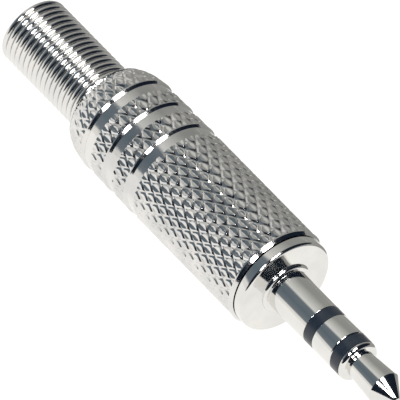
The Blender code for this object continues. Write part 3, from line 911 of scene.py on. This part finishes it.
def metal_surroundings(tree):
    """What the metal sees: the bands, darker ahead and pale low behind."""
    where = tree.nodes.new("ShaderNodeTexCoord").outputs["Generated"]
    parts = tree.nodes.new("ShaderNodeSeparateXYZ")
    tree.links.new(where, parts.inputs["Vector"])
    ahead = ranged(tree, parts.outputs["X"], AHEAD_RANGE, interpolation="SMOOTHSTEP")
    darker = blend_node(tree, ahead, AHEAD_COLOUR)
    tree.links.new(sky_bands(tree, parts.outputs["Y"], parts.outputs["Z"]), darker.inputs["A"])
    low_behind = tree.nodes.new("ShaderNodeVectorMath")
    low_behind.operation = "DOT_PRODUCT"
    low_behind.inputs[1].default_value = LOW_BEHIND
    tree.links.new(where, low_behind.inputs[0])
    behind = ranged(tree, low_behind.outputs["Value"], LOW_BEHIND_RANGE, interpolation="SMOOTHSTEP")
    lighter = blend_node(tree, behind, LOW_BEHIND_COLOUR)
    tree.links.new(darker.outputs["Result"], lighter.inputs["A"])
    return lighter.outputs["Result"]


def studio_world():
    """Soft surroundings: white to the camera, and banded round the plug's axis for the metal."""
    surroundings = bpy.data.worlds.new("studio")
    bpy.context.scene.world = surroundings
    surroundings.use_nodes = True
    tree = surroundings.node_tree
    tree.nodes.clear()
    around = tree.nodes.new("ShaderNodeBackground")
    tree.links.new(metal_surroundings(tree), around.inputs["Color"])
    white = tree.nodes.new("ShaderNodeBackground")
    white.inputs["Color"].default_value = (1, 1, 1, 1)
    light = tree.nodes.new("ShaderNodeLightPath")
    mix = tree.nodes.new("ShaderNodeMixShader")
    out = tree.nodes.new("ShaderNodeOutputWorld")
    tree.links.new(light.outputs["Is Camera Ray"], mix.inputs["Fac"])
    tree.links.new(around.outputs["Background"], mix.inputs[1])
    tree.links.new(white.outputs["Background"], mix.inputs[2])
    tree.links.new(mix.outputs["Shader"], out.inputs["Surface"])


def strip_lamp(name, around, ahead, size, power):
    """A long lamp over the plug. Around the axis and towards the tip are degrees from upright."""
    lean, tilt = math.radians(around), math.radians(ahead)
    towards = Vector((math.sin(tilt), math.cos(tilt) * math.sin(lean), math.cos(tilt) * math.cos(lean)))
    side = Vector((0.0, math.cos(lean), -math.sin(lean)))
    lamp = bpy.data.lights.new(name, "AREA")
    lamp.shape = "RECTANGLE"
    lamp.size, lamp.size_y = size
    lamp.energy = power
    obj = bpy.data.objects.new(name, lamp)
    bpy.context.scene.collection.objects.link(obj)
    obj.location = towards * LAMP_DISTANCE
    obj.visible_camera = False
    obj.rotation_euler = Matrix((side, towards.cross(side), towards)).transposed().to_euler()


def photo_camera():
    """The camera at the photograph's angle, far off with a long lens."""
    level = math.cos(CAMERA_ELEVATION)
    back = Vector((math.sin(CAMERA_AZIMUTH) * level, -math.cos(CAMERA_AZIMUTH) * level,
                   math.sin(CAMERA_ELEVATION)))
    right = Vector((math.cos(CAMERA_AZIMUTH), math.sin(CAMERA_AZIMUTH), 0.0))
    up = back.cross(right)
    camera = bpy.data.cameras.new("camera")
    camera.sensor_width = SENSOR_WIDTH
    camera.lens = camera.sensor_width * CAMERA_DISTANCE / PICTURE_WIDTH
    camera.clip_start = CAMERA_CLIP_START
    camera.clip_end = CAMERA_CLIP_END
    obj = bpy.data.objects.new("camera", camera)
    bpy.context.scene.collection.objects.link(obj)
    middle = point_at(0.0) - right * FACE_RIGHT + up * FACE_DOWN
    obj.location = middle + back * CAMERA_DISTANCE
    obj.rotation_euler = back.to_track_quat("Z", "Y").to_euler()
    bpy.context.scene.camera = obj


bpy.context.scene.view_settings.view_transform = "Standard"
photo_camera()
studio_world()
pale_floor()
# The grey card paints the shade of the floor beside the plug into the metal's reflection
grey_card()
strip_lamp("broad_lamp", around=3.5, ahead=31.0, size=(0.27, 0.46), power=5.4)
strip_lamp("narrow_lamp", around=-31.5, ahead=31.0, size=(0.17, 0.46), power=3.2)

NICKEL = turned_nickel()
make_tip(NICKEL)
make_ring(NICKEL)
make_sleeve(NICKEL)
make_insulators(moulded_black())
make_barrel(knurled_nickel())
make_spring(spring_wire())
LUG_TIN = tinned_brass()
for lug in ("ground_lug", "ring_lug", "tip_lug"):
    dress_node(lug, LUG_TIN)
WASHER_SHEET = laminate()
for washer in ("ring_lug_washer", "tip_lug_washer"):
    dress_node(washer, WASHER_SHEET)
dress_node("liner_tube", milky_plastic())
